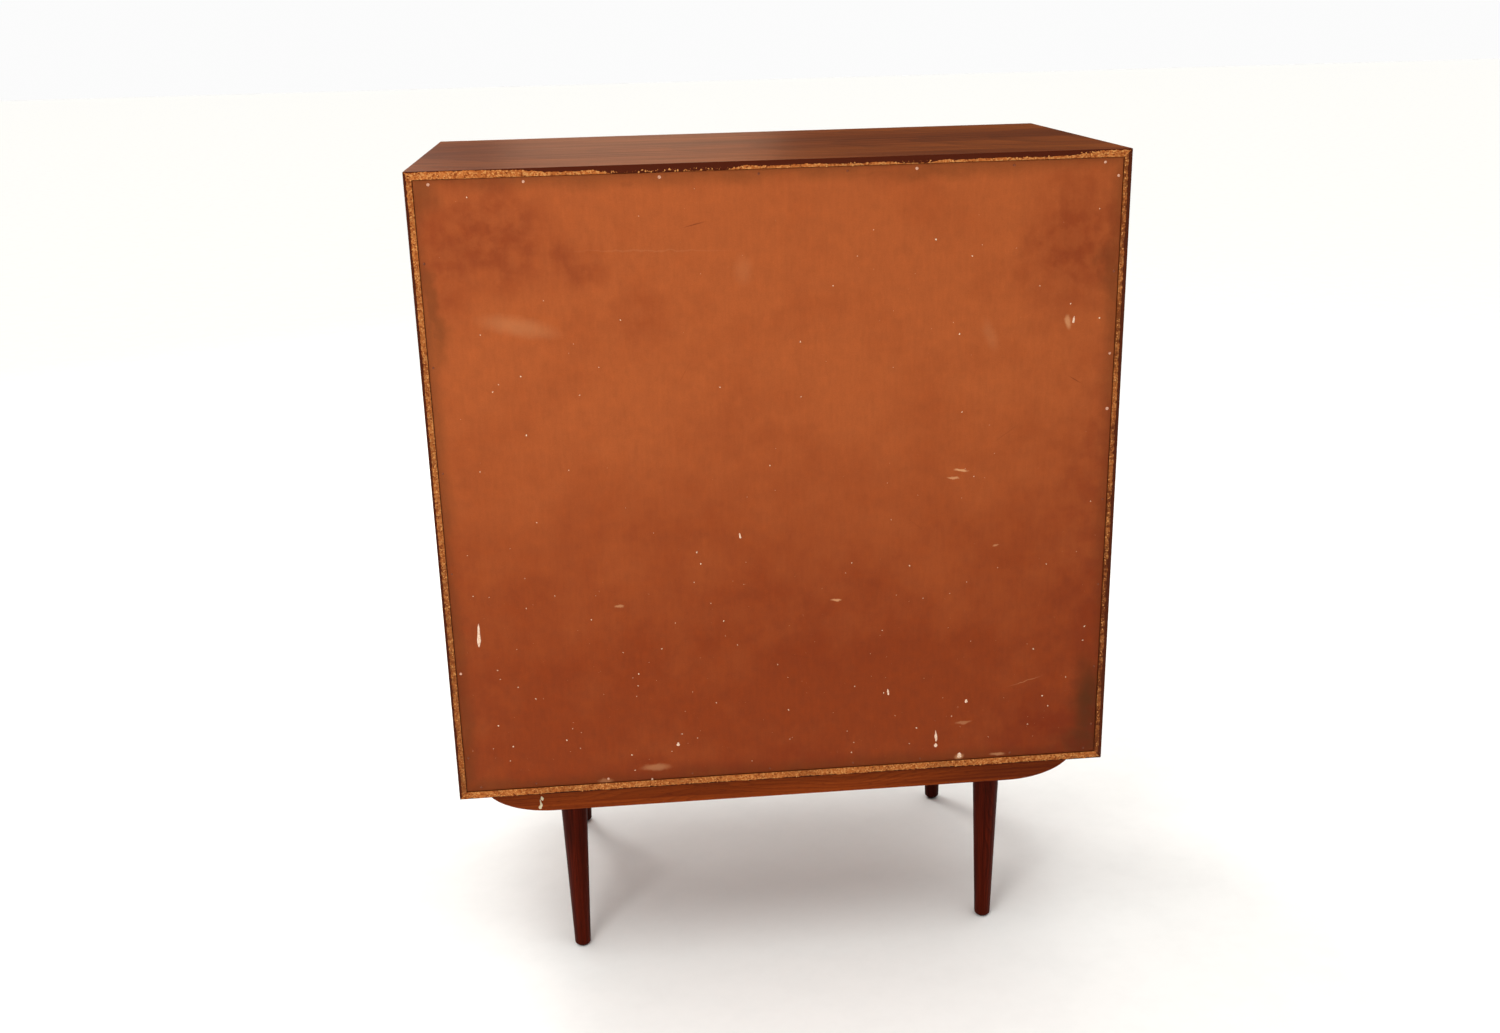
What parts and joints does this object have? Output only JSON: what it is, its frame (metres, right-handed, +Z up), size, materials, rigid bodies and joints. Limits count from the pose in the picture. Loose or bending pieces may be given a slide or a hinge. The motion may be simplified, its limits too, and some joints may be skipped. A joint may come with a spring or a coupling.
{
  "type": "console television cabinet",
  "caption": "Tall teak cabinet on a boat-shaped base with tapered legs, with doors over a television bay and drawers below.",
  "frame": {"origin": "on the floor, under the middle of the bounding box, pulls included", "axes": "+Z up, the front with its doors and drawers faces -Y, +X to the right of someone facing the front"},
  "size_m": [0.9, 0.494, 1.121],
  "materials": {
    "teak_veneer": "satin oiled teak veneer on chipboard, raw chipboard at the back edges",
    "solid_teak": "dark oiled solid teak",
    "base_teak": "satin solid teak",
    "hardboard": "raw hardboard, stained and spotted with paint",
    "beech": "unfinished beech",
    "birch_ply": "unfinished birch plywood",
    "brass": "dulled brass",
    "steel": "zinc-plated steel",
    "nylon": "dark brown moulded nylon"
  },
  "bodies": {
    "cabinet": {"case_top": "teak_veneer", "case_bottom": "teak_veneer", "case_side_left": "teak_veneer", "case_side_right": "teak_veneer", "fixed_shelf": "teak_veneer", "back_panel": "hardboard", "base_rail_front": "base_teak", "base_rail_rear": "base_teak", "base_cross_rail_left": "base_teak", "base_cross_rail_right": "base_teak", "leg_front_left": "solid_teak", "leg_front_right": "solid_teak", "leg_rear_left": "solid_teak", "leg_rear_right": "solid_teak", "glide_front_left": "nylon", "glide_front_right": "nylon", "glide_rear_left": "nylon", "glide_rear_right": "nylon", "drawer_runner_lower_left": "beech", "drawer_runner_lower_right": "beech", "drawer_runner_upper_left": "beech", "drawer_runner_upper_right": "beech", "hinge_case_leaf_left_lower": "brass", "hinge_case_leaf_left_upper": "brass", "hinge_case_leaf_right_lower": "brass", "hinge_case_leaf_right_upper": "brass", "hinge_pin_left_lower": "brass", "hinge_pin_left_upper": "brass", "hinge_pin_right_lower": "brass", "hinge_pin_right_upper": "brass", "magnetic_catch_left": "nylon", "magnetic_catch_right": "nylon"},
    "left_door": {"door_left": "teak_veneer", "door_pull_left": "solid_teak", "catch_strike_left": "steel", "hinge_door_leaf_left_lower": "brass", "hinge_door_leaf_left_upper": "brass"},
    "right_door": {"door_right": "teak_veneer", "door_pull_right": "solid_teak", "catch_strike_right": "steel", "hinge_door_leaf_right_lower": "brass", "hinge_door_leaf_right_upper": "brass"},
    "lower_drawer": {"drawer_front_lower": "teak_veneer", "drawer_side_lower_left": "beech", "drawer_side_lower_right": "beech", "drawer_back_lower": "beech", "drawer_bottom_lower": "birch_ply", "drawer_pull_lower_left": "solid_teak", "drawer_pull_lower_right": "solid_teak"},
    "upper_drawer": {"drawer_front_upper": "teak_veneer", "drawer_side_upper_left": "beech", "drawer_side_upper_right": "beech", "drawer_back_upper": "beech", "drawer_bottom_upper": "birch_ply", "drawer_pull_upper_left": "solid_teak", "drawer_pull_upper_right": "solid_teak"}
  },
  "joints": [
    {"name": "left_door_hinge", "type": "hinge", "parent": "cabinet", "child": "left_door", "pos_m": [-0.429, -0.23, 0.825], "axis": [0, 0, -1], "range_deg": [0, 180]},
    {"name": "right_door_hinge", "type": "hinge", "parent": "cabinet", "child": "right_door", "pos_m": [0.429, -0.23, 0.825], "axis": [0, 0, 1], "range_deg": [0, 180]},
    {"name": "lower_drawer_slide", "type": "slide", "parent": "cabinet", "child": "lower_drawer", "axis": [0, -1, 0], "range_m": [0, 0.33]},
    {"name": "upper_drawer_slide", "type": "slide", "parent": "cabinet", "child": "upper_drawer", "axis": [0, -1, 0], "range_m": [0, 0.33]}
  ]
}
